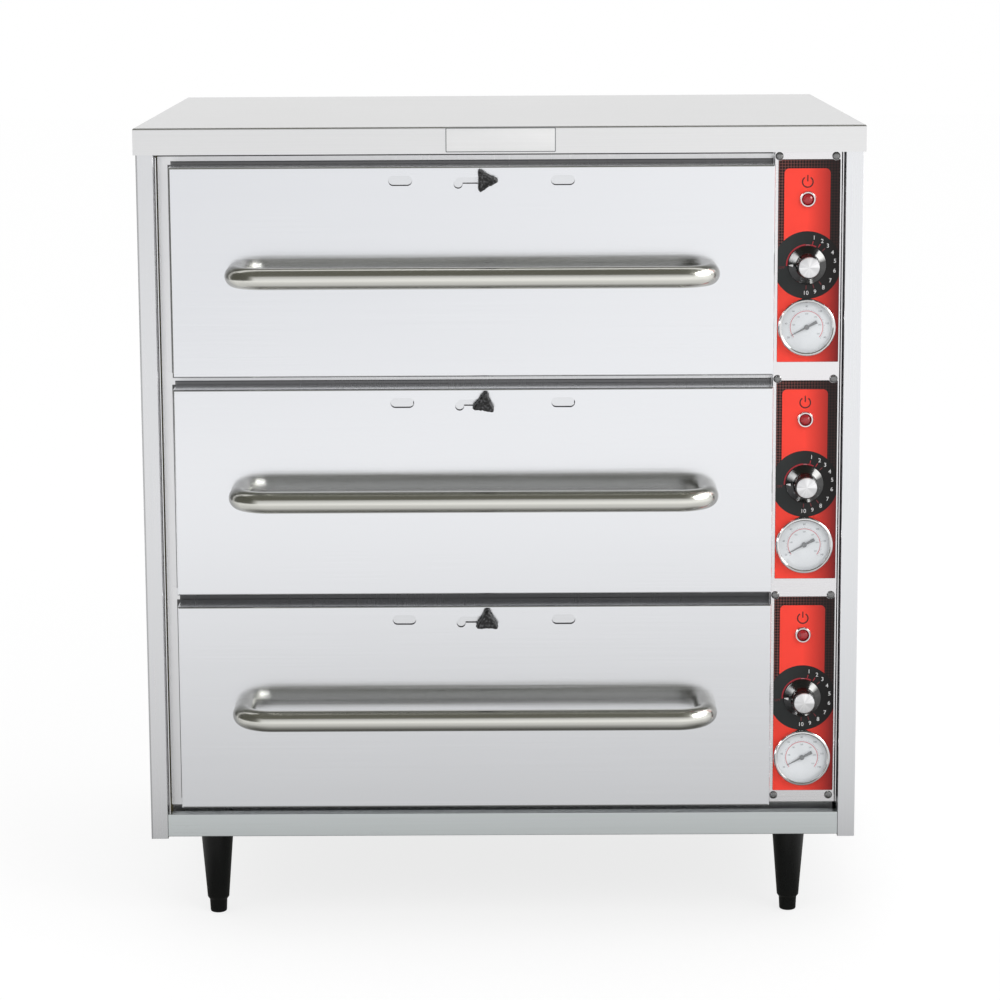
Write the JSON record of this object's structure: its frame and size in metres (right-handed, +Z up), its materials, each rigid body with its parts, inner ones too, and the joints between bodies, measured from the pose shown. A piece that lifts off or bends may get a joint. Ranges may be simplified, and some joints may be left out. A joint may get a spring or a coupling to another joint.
{
  "type": "warming_drawer",
  "caption": "Free-standing stainless steel food warming cabinet with insulated drawers, tube handles, red control panels with dials and thermometers, and black legs",
  "frame": {"origin": "middle of the footprint's bounding box, at floor level", "axes": "+X to the right of a person facing the drawers, the drawers open towards -Y, +Z up"},
  "size_m": [0.756, 0.66, 0.86],
  "materials": {
    "outer_steel": "brushed",
    "front_steel": "fine brushed",
    "rear_steel": "satin",
    "frame_steel": "satin",
    "slide_steel": "zinc plated",
    "pan_steel": "satin",
    "handle_tube": "polished",
    "bright_trim": "polished",
    "screw_steel": "polished",
    "spun_cap": "spun",
    "needle_steel": "satin",
    "element_sheath": "dull",
    "white_paint": "matt",
    "overlay_film": "glossy",
    "black_leg": "glossy",
    "black_plastic": "matt",
    "knob_plastic": "semi-gloss",
    "red_lens": "glossy",
    "ivory_plastic": "matt",
    "phenolic": "matt",
    "lead_jacket": "matt",
    "fibre": "matt",
    "clear_glass": "clear"
  },
  "bodies": {
    "cabinet": {"top_panel": "outer_steel", "left_side_panel": "outer_steel", "right_side_panel": "outer_steel", "rear_panel": "rear_steel", "base_pan": "outer_steel", "inner_frame": "frame_steel", "cavity_liners": "frame_steel", "insulation": "fibre", "heating_elements": "element_sheath", "fixed_slides": "slide_steel", "control_plate": "outer_steel", "overlays": "overlay_film", "thermostats": "phenolic", "pilot_bezels": "bright_trim", "pilot_lenses": "red_lens", "gauge_cases": "bright_trim", "gauge_dials": "white_paint", "gauge_glasses": "clear_glass", "legs": "black_leg", "panel_screws": "screw_steel", "terminal_block": "ivory_plastic", "cord_gland": "black_plastic", "wiring": "lead_jacket"},
    "drawer_1": {"drawer_front_1": "front_steel", "drawer_liner_1": "frame_steel", "handle_1": "handle_tube", "drawer_frame_1": "frame_steel", "food_pan_1": "pan_steel"},
    "mid_1": {"mid_slides_1": "slide_steel"},
    "vent_1": {"vent_slide_1": "frame_steel"},
    "thumb_1": {"vent_knob_1": "black_plastic"},
    "dial_1": {"knob_1": "knob_plastic", "knob_cap_1": "spun_cap"},
    "pointer_1": {"needle_1": "needle_steel"},
    "drawer_2": {"drawer_front_2": "front_steel", "drawer_liner_2": "frame_steel", "handle_2": "handle_tube", "drawer_frame_2": "frame_steel", "food_pan_2": "pan_steel"},
    "mid_2": {"mid_slides_2": "slide_steel"},
    "vent_2": {"vent_slide_2": "frame_steel"},
    "thumb_2": {"vent_knob_2": "black_plastic"},
    "dial_2": {"knob_2": "knob_plastic", "knob_cap_2": "spun_cap"},
    "pointer_2": {"needle_2": "needle_steel"},
    "drawer_3": {"drawer_front_3": "front_steel", "drawer_liner_3": "frame_steel", "handle_3": "handle_tube", "drawer_frame_3": "frame_steel", "food_pan_3": "pan_steel"},
    "mid_3": {"mid_slides_3": "slide_steel"},
    "vent_3": {"vent_slide_3": "frame_steel"},
    "thumb_3": {"vent_knob_3": "black_plastic"},
    "dial_3": {"knob_3": "knob_plastic", "knob_cap_3": "spun_cap"},
    "pointer_3": {"needle_3": "needle_steel"},
    "foot_1": {"foot_1": "black_leg"},
    "foot_2": {"foot_2": "black_leg"},
    "foot_3": {"foot_3": "black_leg"},
    "foot_4": {"foot_4": "black_leg"}
  },
  "joints": [
    {"name": "drawer_1_slide", "type": "slide", "parent": "cabinet", "child": "drawer_1", "axis": [0, -1, 0], "range_m": [0, 0.4]},
    {"name": "mid_1_slide", "type": "slide", "parent": "cabinet", "child": "mid_1", "axis": [0, -1, 0], "range_m": [0, 0.2]},
    {"name": "vent_1_slide", "type": "slide", "parent": "drawer_1", "child": "vent_1", "axis": [-1, 0, 0], "range_m": [0, 0.026]},
    {"name": "vent_knob_1_turn", "type": "hinge", "parent": "vent_1", "child": "thumb_1", "pos_m": [-0.0145, -0.26295, 0.8061], "axis": [0, 1, 0], "range_deg": [-360, 0]},
    {"name": "knob_1_turn", "type": "hinge", "parent": "cabinet", "child": "dial_1", "pos_m": [0.3184, -0.24145, 0.7147], "axis": [0, 1, 0], "range_deg": [0, 270]},
    {"name": "needle_1_turn", "type": "hinge", "parent": "cabinet", "child": "pointer_1", "pos_m": [0.3184, -0.24145, 0.6501], "axis": [0, 1, 0], "range_deg": [0, 240], "stiffness_Nm_per_rad": 0.0005},
    {"name": "drawer_2_slide", "type": "slide", "parent": "cabinet", "child": "drawer_2", "axis": [0, -1, 0], "range_m": [0, 0.4]},
    {"name": "mid_2_slide", "type": "slide", "parent": "cabinet", "child": "mid_2", "axis": [0, -1, 0], "range_m": [0, 0.2]},
    {"name": "vent_2_slide", "type": "slide", "parent": "drawer_2", "child": "vent_2", "axis": [-1, 0, 0], "range_m": [-0.0025, 0.0235]},
    {"name": "vent_knob_2_turn", "type": "hinge", "parent": "vent_2", "child": "thumb_2", "pos_m": [-0.017, -0.26295, 0.5756], "axis": [0, 1, 0], "range_deg": [-360, 0]},
    {"name": "knob_2_turn", "type": "hinge", "parent": "cabinet", "child": "dial_2", "pos_m": [0.3184, -0.24145, 0.4842], "axis": [0, 1, 0], "range_deg": [0, 270]},
    {"name": "needle_2_turn", "type": "hinge", "parent": "cabinet", "child": "pointer_2", "pos_m": [0.3184, -0.24145, 0.4196], "axis": [0, 1, 0], "range_deg": [0, 240], "stiffness_Nm_per_rad": 0.0005},
    {"name": "drawer_3_slide", "type": "slide", "parent": "cabinet", "child": "drawer_3", "axis": [0, -1, 0], "range_m": [0, 0.4]},
    {"name": "mid_3_slide", "type": "slide", "parent": "cabinet", "child": "mid_3", "axis": [0, -1, 0], "range_m": [0, 0.2]},
    {"name": "vent_3_slide", "type": "slide", "parent": "drawer_3", "child": "vent_3", "axis": [-1, 0, 0], "range_m": [-0.0005, 0.0255]},
    {"name": "vent_knob_3_turn", "type": "hinge", "parent": "vent_3", "child": "thumb_3", "pos_m": [-0.015, -0.26295, 0.3451], "axis": [0, 1, 0], "range_deg": [-360, 0]},
    {"name": "knob_3_turn", "type": "hinge", "parent": "cabinet", "child": "dial_3", "pos_m": [0.3184, -0.24145, 0.2537], "axis": [0, 1, 0], "range_deg": [0, 270]},
    {"name": "needle_3_turn", "type": "hinge", "parent": "cabinet", "child": "pointer_3", "pos_m": [0.3184, -0.24145, 0.1891], "axis": [0, 1, 0], "range_deg": [0, 240], "stiffness_Nm_per_rad": 0.0005},
    {"name": "foot_1_screw", "type": "slide", "parent": "cabinet", "child": "foot_1", "axis": [0, 0, -1], "range_m": [0, 0.025]},
    {"name": "foot_2_screw", "type": "slide", "parent": "cabinet", "child": "foot_2", "axis": [0, 0, -1], "range_m": [0, 0.025]},
    {"name": "foot_3_screw", "type": "slide", "parent": "cabinet", "child": "foot_3", "axis": [0, 0, -1], "range_m": [0, 0.025]},
    {"name": "foot_4_screw", "type": "slide", "parent": "cabinet", "child": "foot_4", "axis": [0, 0, -1], "range_m": [0, 0.025]}
  ],
  "couplings": [
    {"joint": "mid_1_slide", "follows": "drawer_1_slide", "ratio": 0.5},
    {"joint": "mid_2_slide", "follows": "drawer_2_slide", "ratio": 0.5},
    {"joint": "mid_3_slide", "follows": "drawer_3_slide", "ratio": 0.5}
  ]
}
